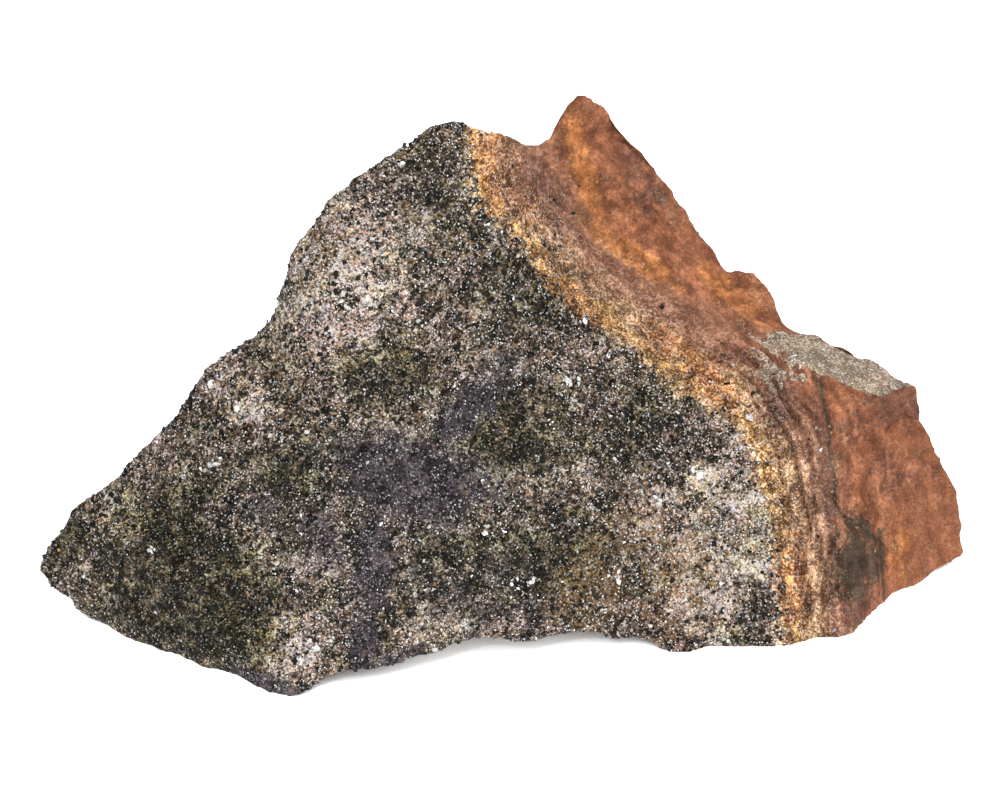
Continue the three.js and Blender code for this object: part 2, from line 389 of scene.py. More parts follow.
def beside_line(places: np.ndarray, line: Sequence[Spot]) -> tuple[np.ndarray, np.ndarray]:
    """Measures how far places lie from a line on the face, and how far along it.

    Args:
        places: Rows of pixels across and down.
        line: The line's points, from the top down.

    Returns:
        Distances in millimetres, positive to the right of the line, and ways along it.
    """
    nearest = np.full(len(places), np.inf)
    side = np.ones(len(places))
    way = np.zeros(len(places))
    gone = 0.0
    for start, end in zip(line, line[1:]):
        a = np.array(start)
        run = np.array(end) - a
        length = float(np.hypot(*run))
        offset = places - a
        along = clamp(offset @ run / length**2)
        gap = offset - along[:, None] * run
        distance = np.hypot(gap[:, 0], gap[:, 1])
        closer = distance < nearest
        nearest[closer] = distance[closer]
        way[closer] = gone + along[closer] * length
        turn = run[0] * gap[:, 1] - run[1] * gap[:, 0]
        side[closer] = np.where(turn[closer] < 0, 1.0, -1.0)
        gone += length
    return nearest * side / PX_PER_MM, way / PX_PER_MM


def oval_reach(places: np.ndarray, patch: Patch) -> np.ndarray:
    """Measures how far out places lie from a patch's middle.

    Args:
        places: Rows of pixels across and down.
        patch: The patch.

    Returns:
        Reaches, 0 in the middle and 1 on the patch's outline.
    """
    turn = math.radians(patch.turn)
    du, dv = places[:, 0] - patch.u, places[:, 1] - patch.v
    across = (du * math.cos(turn) + dv * math.sin(turn)) / patch.half_width
    down = (dv * math.cos(turn) - du * math.sin(turn)) / patch.half_height
    return np.hypot(across, down)


def patch_cover(places: np.ndarray, stain: Stain) -> np.ndarray:
    """Finds how strongly the patches of one kind cover places on the face.

    Args:
        places: Rows of pixels across and down.
        stain: The kind of patch.

    Returns:
        Cover up to the patches' strength, which is half of it at the edge of a patch.
    """
    cover = np.zeros(len(places))
    for patch in PATCHES[stain]:
        here = clamp(1.5 - oval_reach(places, patch)) * patch.strength
        cover = np.maximum(cover, here)
    return cover


def rind_distance(points: np.ndarray) -> np.ndarray:
    """Measures how deep points lie in the rind.

    Args:
        points: Rows of x, y, z.

    Returns:
        Millimetres from the edge of the rind, negative on the fresh break.
    """
    front, _ = beside_line(on_face(points), RIND_EDGE_PX)
    return np.maximum(front, behind_face(points) - BACK_STARTS_MM)


@dataclass
class Sheet:
    """A node tree with short calls for adding and joining its nodes."""

    tree: bpy.types.NodeTree

    def add(self, kind: str, inputs: dict[Any, Any] | None = None, **settings: Any) -> Node:
        """Adds a node and feeds its inputs.

        Args:
            kind: The node's type.
            inputs: What goes in, by the inputs' names or numbers.
            **settings: Values for the node's own fields.

        Returns:
            The new node.
        """
        node = self.tree.nodes.new(kind)
        for name, value in settings.items():
            setattr(node, name, value)
        for key, value in (inputs or {}).items():
            self.feed(node.inputs[key], value)
        return node

    def feed(self, socket: Socket, value: Any) -> None:
        """Joins a socket to another, or sets its value.

        Args:
            socket: The input.
            value: An output socket, a number, a colour or a vector.
        """
        if isinstance(value, Socket):
            self.tree.links.new(value, socket)
        elif isinstance(value, tuple) and socket.type == "RGBA" and len(value) == 3:
            socket.default_value = (*value, 1.0)
        else:
            socket.default_value = value

    def math(self, operation: str, *values: Any, clamp: bool = False) -> Socket:
        """Works out a number from others, and keeps it from 0 to 1 if that is asked for."""
        inputs = dict(enumerate(values))
        return self.add("ShaderNodeMath", inputs, operation=operation, use_clamp=clamp).outputs[0]

    def line(self, value: Any, factor: Any, offset: Any, clamp: bool = False) -> Socket:
        """Multiplies a number by a factor and adds an offset."""
        return self.math("MULTIPLY_ADD", value, factor, offset, clamp=clamp)

    def plus(self, first: Any, second: Any) -> Socket:
        """Adds two numbers."""
        return self.math("ADD", first, second)

    def times(self, first: Any, second: Any) -> Socket:
        """Multiplies two numbers."""
        return self.math("MULTIPLY", first, second)

    def vector(self, operation: str, *values: Any) -> Socket:
        """Works out a vector from others."""
        inputs = dict(enumerate(values))
        return self.add("ShaderNodeVectorMath", inputs, operation=operation).outputs[0]

    def scaled(self, vector: Any, factor: Any) -> Socket:
        """Scales a vector or a colour by a number."""
        inputs = {0: vector, "Scale": factor}
        return self.add("ShaderNodeVectorMath", inputs, operation="SCALE").outputs[0]

    def mix(self, factor: Any, first: Any, second: Any, blend: str = "MIX") -> Socket:
        """Mixes two colours, where the factor is how much of the second there is."""
        inputs = {0: factor, 6: first, 7: second}
        return self.add("ShaderNodeMix", inputs, data_type="RGBA", blend_type=blend).outputs[2]

    def between(self, factor: Any, first: Any, second: Any) -> Socket:
        """Mixes two numbers, where the factor is how much of the second there is."""
        inputs = {0: factor, 2: first, 3: second}
        return self.add("ShaderNodeMix", inputs, data_type="FLOAT").outputs[0]

    def step(self, value: Any, start: float, end: float, low: float = 0.0,
             high: float = 1.0) -> Socket:
        """Turns a value smoothly from low to high.

        Args:
            value: The value to read.
            start: Where the turn starts.
            end: Where it ends.
            low: The result at the start.
            high: The result at the end.

        Returns:
            The result.
        """
        inputs = {"Value": value, "From Min": start, "From Max": end, "To Min": low,
                  "To Max": high}
        node = self.add("ShaderNodeMapRange", inputs, interpolation_type="SMOOTHSTEP")
        return node.outputs[0]

    def ramp(self, value: Any, stops: Stops) -> Socket:
        """Reads a colour from a row of stops.

        Args:
            value: Where on the row to read.
            stops: Places from 0 to 1 and their colours.

        Returns:
            The colour.
        """
        node = self.add("ShaderNodeValToRGB", {0: value})
        elements = node.color_ramp.elements
        while len(elements) < len(stops):
            elements.new(1.0)
        for element, (place, color) in zip(elements, stops):
            element.position = place
            element.color = (*color, 1.0)
        return node.outputs[0]

    def noise(self, vector: Any, scale: float, detail: float, roughness: float) -> Socket:
        """Adds smooth noise.

        Args:
            vector: Where to read it.
            scale: Its bumps per unit of length.
            detail: Its number of finer layers.
            roughness: How strong the finer layers are.

        Returns:
            Its value, near 0.5 on average.
        """
        inputs = {"Vector": vector, "Scale": scale, "Detail": detail, "Roughness": roughness}
        return self.add("ShaderNodeTexNoise", inputs).outputs[0]

    def warped(self, vector: Any, scale: float, reach: float) -> Socket:
        """Shifts places about, so that what is read there gets wavy outlines.

        Args:
            vector: The places.
            scale: Shifts per unit of length.
            reach: How far they go.

        Returns:
            The shifted places.
        """
        noise = self.add("ShaderNodeTexNoise", {"Vector": vector, "Scale": scale})
        return self.vector("ADD", vector, self.scaled(noise.outputs[1], reach))

    def cells(self, vector: Any, scale: float) -> tuple[Node, Node]:
        """Divides the stone into cells at random.

        Args:
            vector: Where to read them.
            scale: Cells per unit of length.

        Returns:
            The cells' node, and a node with three random values of each cell.
        """
        cells = self.add("ShaderNodeTexVoronoi", {"Vector": vector, "Scale": scale}, feature="F1")
        return cells, self.add("ShaderNodeSeparateColor", {0: cells.outputs["Color"]})

    def attribute(self, name: str) -> Socket:
        """Reads a value that is kept on the mesh."""
        return self.add("ShaderNodeAttribute", attribute_name=name).outputs["Fac"]

    def group(self, tree: bpy.types.NodeTree, **values: Any) -> Node:
        """Places a node group, with its inputs by name and underscores for their spaces."""
        inputs = {name.replace("_", " "): value for name, value in values.items()}
        return self.add("ShaderNodeGroup", inputs, node_tree=tree)


def new_group(name: str, inputs: dict[str, str],
              outputs: dict[str, str]) -> tuple[Sheet, Node, Node]:
    """Starts a shader node group.

    Args:
        name: The group's name.
        inputs: Its inputs by name, with the kind of each.
        outputs: Its outputs, likewise.

    Returns:
        The group's sheet, its input node and its output node.
    """
    tree = bpy.data.node_groups.new(name, "ShaderNodeTree")
    for side, sockets in (("INPUT", inputs), ("OUTPUT", outputs)):
        for title, kind in sockets.items():
            tree.interface.new_socket(name=title, in_out=side, socket_type=f"NodeSocket{kind}")
    sheet = Sheet(tree)
    return sheet, sheet.add("NodeGroupInput"), sheet.add("NodeGroupOutput")


@dataclass
class NodeGroups:
    """The shader effects that several materials share, each built once."""

    wave_scale: float = 1.6
    wave_reach: float = 1.3
    ragged_scale: float = 240.0
    glint_wave_scale: float = 5200.0
    glint_wave_reach: float = 0.16 * MM
    glint_rim: float = 1.25
    glints_scale_radius_share: tuple[tuple[float, float, float], ...] = (
        (4600.0, 0.33, 0.56), (2100.0, 0.16, 0.90),
    )
    mosaic: bpy.types.NodeTree = field(init=False)
    ragged: bpy.types.NodeTree = field(init=False)
    glints: bpy.types.NodeTree = field(init=False)

    def __post_init__(self) -> None:
        """Builds every group."""
        self.mosaic = self.build_mosaic()
        self.ragged = self.build_ragged()
        self.glints = self.build_glints()

    def build_mosaic(self) -> bpy.types.NodeTree:
        """Builds the mosaic of interlocked grains.

        Returns:
            A group that gives each grain three random values and a tilted normal.
        """
        sheet, start, end = new_group(
            "Grain mosaic",
            {"Vector": "Vector", "Grains per metre": "Float", "Tilt": "Float"},
            {"Mineral": "Float", "Tone": "Float", "Glint": "Float", "Normal": "Vector"},
        )
        place = sheet.scaled(start.outputs["Vector"], start.outputs["Grains per metre"])
        cells, parts = sheet.cells(sheet.warped(place, self.wave_scale, self.wave_reach), 1.0)
        for name, part in zip(("Mineral", "Tone", "Glint"), parts.outputs):
            sheet.feed(end.inputs[name], part)
        lean = sheet.vector("SUBTRACT", cells.outputs["Color"], (0.5, 0.5, 0.5))
        up = sheet.add("ShaderNodeNewGeometry").outputs["Normal"]
        tilted = sheet.vector("ADD", up, sheet.scaled(lean, start.outputs["Tilt"]))
        sheet.feed(end.inputs["Normal"], sheet.vector("NORMALIZE", tilted))
        return sheet.tree

    def build_ragged(self) -> bpy.types.NodeTree:
        """Builds the ragged edge of a patch.

        Returns:
            A group that turns a soft cover into a mask with a broken edge.
        """
        sheet, start, end = new_group(
            "Ragged edge",
            {"Cover": "Float", "Vector": "Vector", "Grain": "Float"},
            {"Mask": "Float"},
        )
        drift = sheet.noise(start.outputs["Vector"], self.ragged_scale, 4.0, 0.65)
        edge = sheet.plus(start.outputs["Cover"], sheet.line(drift, 1.8, -0.9))
        edge = sheet.plus(edge, sheet.line(start.outputs["Grain"], 0.5, -0.25))
        sheet.feed(end.inputs["Mask"], sheet.step(edge, 0.25, 0.75))
        return sheet.tree

    def build_glints(self) -> bpy.types.NodeTree:
        """Builds the pinpoint glints of cleavage faces, painted as white points into the colour.

        Returns:
            A group that gives a mask of scattered painted highlights in two sizes.
        """
        sheet, start, end = new_group("Glints", {"Vector": "Vector"}, {"Glint": "Float"})
        place = sheet.warped(start.outputs["Vector"], self.glint_wave_scale, self.glint_wave_reach)
        masks = []
        for scale, radius, share in self.glints_scale_radius_share:
            cells, parts = sheet.cells(place, scale)
            rim = radius * self.glint_rim
            near = sheet.step(cells.outputs["Distance"], radius, rim, 1.0, 0.0)
            masks.append(sheet.times(near, sheet.step(parts.outputs[1], share, 1.0)))
        sheet.feed(end.inputs["Glint"], sheet.math("MAXIMUM", *masks))
        return sheet.tree


def new_material(name: str) -> tuple[bpy.types.Material, Sheet, Node]:
    """Starts a material.

    Args:
        name: The material's name.

    Returns:
        The material, its sheet and its Principled BSDF.
    """
    material = bpy.data.materials.new(name)
    material.use_nodes = True
    sheet = Sheet(material.node_tree)
    return material, sheet, material.node_tree.nodes["Principled BSDF"]


@dataclass
class StoneMaterial:
    """The stone's material: mineral grains on the fresh break, rusty bands on the rind, with painted
    glints, painted light on the ledge and painted shade on the right.

    Scales are in bumps or grains per metre, and that of the rind's streaks per millimetre.
    """

    groups: NodeGroups
    finish: StoneFinish = field(default_factory=StoneFinish)
    fine_grains: float = 5600.0
    fine_tilt: float = 1.2
    medium_grains: float = 1900.0
    medium_tilt: float = 0.5
    drift_scale: float = 130.0
    hue_scale: float = 210.0
    fibre_scale: float = 2100.0
    pit_scale: float = 680.0
    clot_scale: float = 560.0
    cluster_scale: float = 250.0
    blotch_scale: float = 620.0
    wander_scale: float = 260.0
    # Wobbles of the painted shadow line along the step.
    step_shadow_wobble_scale: float = 400.0
    streak_scale: float = 0.85
    bump_scale: float = 1500.0
    bump_height: float = 0.2 * MM
    bump_strength: float = 0.6
    rind_roughness: float = 0.8
    sheet: Sheet = field(init=False)
    place: Socket = field(init=False)
    fine: dict[str, Socket] = field(init=False)
    medium: dict[str, Socket] = field(init=False)
    drift: Socket = field(init=False)
    ledge: Socket = field(init=False)
    grain: Socket = field(init=False)
    masks: dict[Stain, Socket] = field(init=False)

    def build(self) -> bpy.types.Material:
        """Mixes the material.

        Returns:
            The material.
        """
        material, sheet, shader = new_material("hornfels")
        self.sheet = sheet
        self.place = sheet.add("ShaderNodeTexCoord").outputs["Object"]
        self.fine = self.mosaic(self.fine_grains, self.fine_tilt)
        self.medium = self.mosaic(self.medium_grains, self.medium_tilt)
        self.drift = sheet.noise(self.place, self.drift_scale, 3.0, 0.6)
        self.masks = {stain: self.mask(stain.value) for stain in Stain}
        self.ledge = self.mask("ledge")
        self.grain = self.grain_value()
        deep = sheet.attribute("rind")
        edge = sheet.line(self.drift, 3.0, sheet.plus(deep, -1.5))
        edge = sheet.line(self.medium["Mineral"], 1.6, sheet.plus(edge, -0.8))
        covered = sheet.step(edge, -0.35, 0.35)
        weathered = sheet.times(covered, sheet.line(self.ledge, -0.85, 1.0))
        fresh = self.fresh_color()
        grit = sheet.times(sheet.step(self.medium["Tone"], 0.55, 0.70),
                           sheet.step(deep, 1.5, 7.0, 0.32, 0.0))
        rind = sheet.mix(grit, self.rind_color(), sheet.scaled(fresh, 2.1))
        color = sheet.mix(weathered, fresh, rind)
        # Painted glints: white points mixed into the base colour stand in for highlights off
        # cleavage faces, fewer on the olive and violet patches and on the rind.
        plain = sheet.math("MAXIMUM", self.masks[Stain.OLIVE], self.masks[Stain.VIOLET])
        painted_glint_amount = sheet.between(weathered, sheet.line(plain, -0.6, 1.0),
                              sheet.step(deep, 1.0, 10.0, 0.55, 0.03))
        glint = sheet.group(self.groups.glints, Vector=self.place).outputs["Glint"]
        color = sheet.mix(sheet.times(glint, painted_glint_amount), color, self.finish.glint)
        sheet.feed(shader.inputs["Base Color"], color)
        gloss = sheet.step(self.fine["Glint"], 0.55, 0.97, 0.7, 0.22)
        rough = sheet.between(weathered, gloss, self.rind_roughness)
        sheet.feed(shader.inputs["Roughness"], rough)
        shader.inputs["Specular IOR Level"].default_value = self.finish.gleam
        sheet.feed(shader.inputs["Normal"], self.normal(weathered))
        return material

    def mosaic(self, grains: float, tilt: float) -> dict[str, Socket]:
        """Places a mosaic of grains.

        Args:
            grains: Its grains per metre.
            tilt: How far each grain leans.

        Returns:
            Its outputs by name.
        """
        node = self.sheet.group(self.groups.mosaic, Vector=self.place, Grains_per_metre=grains,
                                Tilt=tilt)
        return {socket.name: socket for socket in node.outputs}

    def mask(self, name: str) -> Socket:
        """Gives a patch that is kept on the skin a ragged edge.

        Args:
            name: The patch's attribute.

        Returns:
            The mask.
        """
        node = self.sheet.group(self.groups.ragged, Cover=self.sheet.attribute(name),
                                Vector=self.place, Grain=self.medium["Glint"])
        return node.outputs["Mask"]

    def normal(self, weathered: Socket) -> Socket:
        """Tilts the grains of the fresh break and gives the whole stone a fine bump.

        Args:
            weathered: Where the rind lies.

        Returns:
            The normal.
        """
        sheet = self.sheet
        normal = sheet.add("ShaderNodeMix", data_type="VECTOR")
        sheet.feed(normal.inputs[0], sheet.times(weathered, 0.8))
        sheet.feed(normal.inputs[4], self.fine["Normal"])
        sheet.feed(normal.inputs[5], sheet.add("ShaderNodeNewGeometry").outputs["Normal"])
        bump = sheet.add("ShaderNodeBump")
        bump.inputs["Strength"].default_value = self.bump_strength
        bump.inputs["Distance"].default_value = self.bump_height
        sheet.feed(bump.inputs["Height"], sheet.noise(self.place, self.bump_scale, 4.0, 0.65))
        sheet.feed(bump.inputs["Normal"], normal.outputs[1])
        return bump.outputs[0]

    def grain_value(self) -> Socket:
        """Adds up grains, fibres, clots, pits and clusters.

        Returns:
            A value near 0.5 on average, low on dark grains and high on light ones.
        """
        sheet, place = self.sheet, self.place
        fibre = sheet.noise(place, self.fibre_scale, 6.0, 0.85)
        clots = sheet.step(sheet.noise(place, self.clot_scale, 4.0, 0.65), 0.32, 0.68, -0.20, 0.19)
        pits = sheet.step(sheet.noise(place, self.pit_scale, 5.0, 0.7), 0.385, 0.42, -0.50, 0.0)
        clusters = sheet.line(sheet.noise(place, self.cluster_scale, 2.0, 0.5), 0.5, -0.31)
        total = sheet.line(self.fine["Mineral"], 0.62, -0.31)
        total = sheet.line(self.medium["Mineral"], 0.18, sheet.plus(total, -0.09))
        total = sheet.plus(clots, total)
        total = sheet.line(fibre, 1.1, sheet.plus(total, -0.015))
        return sheet.plus(sheet.plus(total, pits), clusters)

    def fresh_color(self) -> Socket:
        """Colours the fresh break and the silvery ledge, whose lighter tone is partly painted light
        from above.

        Returns:
            The colour.
        """
        sheet, finish, masks, medium = self.sheet, self.finish, self.masks, self.medium
        shift = sheet.line(self.drift, 0.24, sheet.plus(self.grain, -0.12))
        shift = sheet.line(masks[Stain.PALE], finish.pale_shift, shift)
        shift = sheet.line(masks[Stain.OLIVE], finish.olive_shift, shift)
        # The ledge: its own paler, silvery grey, and painted light on the up-facing top.
        shift = sheet.line(self.ledge, finish.ledge_pale_and_painted_light_shift, shift, clamp=True)
        color = sheet.ramp(shift, finish.minerals)
        slow = sheet.step(sheet.noise(self.place, self.hue_scale, 3.0, 0.6), 0.36, 0.64)
        hue = sheet.add("ShaderNodeCombineColor")
        sheet.feed(hue.inputs[0], sheet.line(medium["Glint"], 0.26, 0.955))
        sheet.feed(hue.inputs[1], sheet.line(medium["Tone"], 0.10, sheet.line(slow, -0.08, 0.945)))
        sheet.feed(hue.inputs[2], sheet.line(medium["Glint"], -0.34, sheet.line(slow, 0.13, 1.01)))
        color = sheet.mix(1.0, color, hue.outputs[0], "MULTIPLY")
        green = sheet.mix(1.0, color, finish.olive, "MULTIPLY")
        color = sheet.mix(masks[Stain.OLIVE], color, green)
        stir = sheet.math("MAXIMUM", sheet.line(self.grain, 2.0, -0.03), 0.2)
        smear = sheet.scaled(finish.violet, stir)
        color = sheet.mix(sheet.times(masks[Stain.VIOLET], finish.violet_share), color, smear)
        color = sheet.mix(sheet.times(self.ledge, finish.silver_and_painted_light_share), color, finish.silver_and_painted_light)
        rusty = sheet.times(masks[Stain.RUST], sheet.step(self.fine["Tone"], 0.35, 0.65))
        return sheet.mix(sheet.times(rusty, finish.rust_share), color, finish.rust)

    def rind_color(self) -> Socket:
        """Colours the weathered rind in streaks that run beside its edge, with painted shade along
        the step and on facets that turn away.

        Returns:
            The colour.
        """
        sheet, finish, place, masks = self.sheet, self.finish, self.place, self.masks
        deep, way, fin, step = (sheet.attribute(name) for name in ("rind", "way", "fin", "step"))
        wander = sheet.noise(place, self.wander_scale, 4.0, 0.65)
        bent = sheet.line(wander, 4.0, sheet.plus(deep, -2.0))
        along = sheet.math("DIVIDE", bent, finish.rind_span_mm, clamp=True)
        color = sheet.ramp(along, finish.rind_bands)
        shelf = sheet.times(sheet.step(fin, -0.8, 0.8, 1.0, 0.0),
                            sheet.step(deep, 3.0, 6.0, 0.0, 0.6))
        shelf = sheet.times(shelf, sheet.step(step, -4.0, -1.0, 1.0, 0.0))
        block = sheet.times(sheet.step(way, 44.0, 54.0, 0.0, 0.14),
                            sheet.step(deep, 3.5, 7.0, 1.0, 0.0))
        for cover, tint in (
            (shelf, finish.mauve),
            (block, finish.gold),
            (sheet.times(masks[Stain.AMBER], finish.amber_share), finish.amber),
            # Dark red-brown stain, partly painted shade on facets that turn away.
            (sheet.times(masks[Stain.MAROON_AND_SHADE], finish.maroon_and_shade_share), finish.maroon_and_shade),
            # Olive patches on the rind, one of them painted shade on the low right facet that turns
            # down.
            (sheet.times(masks[Stain.OLIVE], finish.soot_and_painted_shade_share), finish.soot_and_painted_shade),
        ):
            color = sheet.mix(cover, color, tint)
        blotch = sheet.noise(place, self.blotch_scale, 4.0, 0.6)
        soft = sheet.step(blotch, 0.36, 0.64, 0.88, 1.12)
        bold = sheet.step(blotch, 0.40, 0.60, 0.72, 1.26)
        color = sheet.scaled(color, sheet.between(sheet.step(fin, -0.5, 0.5), soft, bold))
        # Painted shadow: a dark, wavy line along the step on the right block, where the raised side
        # shades the lower one.
        ragged = sheet.line(sheet.noise(place, self.step_shadow_wobble_scale, 3.0, 0.6), 1.2, -0.6)
        painted_step_shadow_gap = sheet.math("ABSOLUTE", sheet.plus(step, ragged))
        color = sheet.mix(sheet.step(painted_step_shadow_gap, 0.05, 0.28, 0.8, 0.0), color, finish.soot_and_painted_shade)
        bed = sheet.add("ShaderNodeCombineXYZ")
        sheet.feed(bed.inputs[0], sheet.line(wander, 2.6, deep))
        sheet.feed(bed.inputs[1], sheet.times(way, 0.26))
        streaks = sheet.ramp(sheet.noise(bed.outputs[0], self.streak_scale, 4.0, 0.6),
                             finish.rind_streaks)
        strong = sheet.times(sheet.step(deep, 5.0, 16.0, 1.0, 0.3),
                             sheet.step(way, 34.0, 48.0, 0.62, 1.0))
        color = sheet.mix(strong, color, sheet.mix(1.0, color, streaks, "MULTIPLY"))
        specks = sheet.ramp(self.grain, finish.rind_specks)
        near = sheet.step(deep, 0.5, 9.0, 0.95, 0.24)
        return sheet.mix(near, color, sheet.mix(1.0, color, specks, "MULTIPLY"))


@dataclass
class StoneSkin:
    """The whole stone's surface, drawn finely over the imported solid."""

    voxel: float = 0.32 * MM
    smoothing: float = 0.5
    rear_from: float = -0.1
    rear_share: float = 0.5
    weld: float = 0.01 * MM
    hump_height: float = 0.75 * MM
    hump_size: float = 2.6 * MM
    grain_height: float = 0.30 * MM
    grain_size: float = 0.75 * MM
    rind_height: float = 0.26 * MM
    rind_size: float = 1.3 * MM
    weight_steps: int = 8
    flat_reach_mm: float = 1.4
    streak_height: float = 0.26 * MM
    streaks_end_mm: float = 9.0
    step_height: float = 0.8 * MM
    step_fade_mm: float = 5.0
    step_top_px: float = 378.0
    fin_foot_px: float = 328.0
    sharp_angle: float = math.radians(34)
    foot_from: float = 0.6 * MM
    foot_to: float = 2.6 * MM
    ground_gap: float = 0.02 * MM

    def build(self, groups: NodeGroups) -> bpy.types.Object:
        """Builds and dresses the skin.

        Args:
            groups: The shared shader groups.

        Returns:
            The finished piece.
        """
        piece = self.copy_of_solid()
        apply_modifier(piece, "REMESH", mode="VOXEL", voxel_size=self.voxel)
        apply_modifier(piece, "SMOOTH", factor=self.smoothing, iterations=2)
        self.thin_rear(piece)
        self.sharpen(piece)
        self.roughen(piece)
        self.settle(piece)
        select_only(piece)
        bpy.ops.object.shade_smooth_by_angle(angle=self.sharp_angle)
        self.mark(piece)
        piece.data.materials.clear()
        piece.data.materials.append(StoneMaterial(groups).build())
        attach(piece, "root")
        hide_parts("hornfels")
        return piece

    def copy_of_solid(self) -> bpy.types.Object:
        """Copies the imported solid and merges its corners.

        Returns:
            The copy, with a mesh of its own.
        """
        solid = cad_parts["hornfels"]
        piece = bpy.data.objects.new("stone_skin", solid.data.copy())
        bpy.context.scene.collection.objects.link(piece)
        piece.matrix_world = solid.matrix_world
        select_only(piece)
        bpy.ops.object.transform_apply(location=True, rotation=True, scale=True)
        bpy.ops.object.mode_set(mode="EDIT")
        bpy.ops.mesh.select_all(action="SELECT")
        bpy.ops.mesh.remove_doubles(threshold=self.weld)
        bpy.ops.object.mode_set(mode="OBJECT")
        return piece

    def thin_rear(self, piece: bpy.types.Object) -> None:
        """Draws the back and the underside with fewer faces than the front.

        Args:
            piece: The skin.
        """
        facing = normals_of(piece) @ FACE_OUTWARDS
        rear = piece.vertex_groups.new(name="rear")
        rear.add(np.nonzero(facing < self.rear_from)[0].tolist(), 1.0, "REPLACE")
        apply_modifier(piece, "DECIMATE", ratio=self.rear_share, vertex_group="rear")
        piece.vertex_groups.clear()

    def sharpen(self, piece: bpy.types.Object) -> None:
        """Gives the broken flats their sharp edges, and the right block its step and streaks.

        Args:
            piece: The skin.
        """
        points = points_of(piece).astype(float)
        normals = normals_of(piece)
        places = on_face(points)
        rind = rind_distance(points)
        for wedge in WEDGES:
            points += self.wedge_shift(wedge, points, normals, places)
        height = points[:, 2] / MM
        lines = self.streaks(rind, places, height)
        rise = self.streak_height * lines - self.step_height * self.step_drop(places, height)
        facing = clamp(normals @ FACE_OUTWARDS)
        points += normals * (rise * facing)[:, None]
        move_corners(piece, points)

    def wedge_shift(self, wedge: Wedge, points: np.ndarray, normals: np.ndarray,
                    places: np.ndarray) -> np.ndarray:
        """Finds how far corners lie from the flats of a wedge that rules over them.

        Args:
            wedge: The wedge.
            points: The corners.
            normals: Their outward directions.
            places: Their pixels across and down.

        Returns:
            The shift that brings each corner to the flats.
        """
        out = np.array(wedge.outwards) / np.linalg.norm(wedge.outwards)
        travel = np.full(len(points), np.inf)
        for at, normal in wedge.flats:
            unit = np.array(normal) / np.linalg.norm(normal)
            travel = np.minimum(travel, (np.array(at) * MM - points) @ unit / (out @ unit))
        near = clamp((1.0 - oval_reach(places, wedge.oval)) / wedge.fade)
        front = clamp((normals @ out - 0.1) / 0.25)
        close = clamp(2.0 - np.abs(travel) / MM / self.flat_reach_mm)
        return out * (travel * near * front * close)[:, None]

    def streaks(self, rind: np.ndarray, places: np.ndarray, height: np.ndarray) -> np.ndarray:
        """Draws wavy lines that run beside the edge of the rind.

        Args:
            rind: Millimetres from the edge of the rind.
            places: Pixels across and down.
            height: Millimetres above the ground.

        Returns:
            The height of the lines, as a share of the highest.
        """
        way = beside_line(places, RIND_EDGE_PX)[1]
        broad = np.sin(rind * 4.1 + np.sin(way * 0.35) * 1.3)
        lines = broad + 0.7 * np.sin(rind * 7.3 + way * 0.22)
        lines = lines * clamp(rind) * clamp((self.streaks_end_mm - rind) / 2.0)
        return lines * (clamp(height / 2.0 - 0.5) * np.clip((way - 30.0) / 18.0, 0.35, 1.0))

    def step_drop(self, places: np.ndarray, height: np.ndarray) -> np.ndarray:
        """Finds how far the skin lies below the step on the right block.

        Args:
            places: Pixels across and down.
            height: Millimetres above the ground.

        Returns:
            The drop, as a share of the step's height.
        """
        beyond = beside_line(places, STEP_PX)[0]
        drop = clamp(beyond / 0.5 + 0.5) * np.exp(-np.maximum(beyond, 0) / self.step_fade_mm)
        drop *= clamp(height / 2.0 - 1.0)
        return drop * clamp((places[:, 1] - self.step_top_px) / 14.0)

    def roughen(self, piece: bpy.types.Object) -> None:
        """Raises humps and grains, coarse on the fresh break and fine on the rind.

        Args:
            piece: The skin.
        """
        points = points_of(piece)
        weathered = clamp((rind_distance(points) + 0.6) / 1.2)
        foot = clamp((points[:, 2] - self.foot_from) / (self.foot_to - self.foot_from))
        for name, kind, size, height, weights in (
            ("humps", "CLOUDS", self.hump_size, self.hump_height, 1.0 - 0.55 * weathered),
            ("grains", "VORONOI", self.grain_size, self.grain_height, 1.0 - 0.8 * weathered),
            ("crust", "CLOUDS", self.rind_size, self.rind_height, weathered),
        ):
            group = piece.vertex_groups.new(name=name)
            steps = np.round(weights * foot * self.weight_steps).astype(int)
            for step in range(1, self.weight_steps + 1):
                members = np.nonzero(steps == step)[0].tolist()
                group.add(members, step / self.weight_steps, "REPLACE")
            texture = bpy.data.textures.new(name, kind)
            texture.noise_scale = size
            apply_modifier(piece, "DISPLACE", texture=texture, strength=height, mid_level=0.5,
                           texture_coords="LOCAL", vertex_group=name)
        piece.vertex_groups.clear()

    def settle(self, piece: bpy.types.Object) -> None:
        """Keeps the roughened foot on the ground.

        Args:
            piece: The skin.
        """
        points = points_of(piece)
        points[:, 2] = np.maximum(points[:, 2], self.ground_gap)
        move_corners(piece, points)

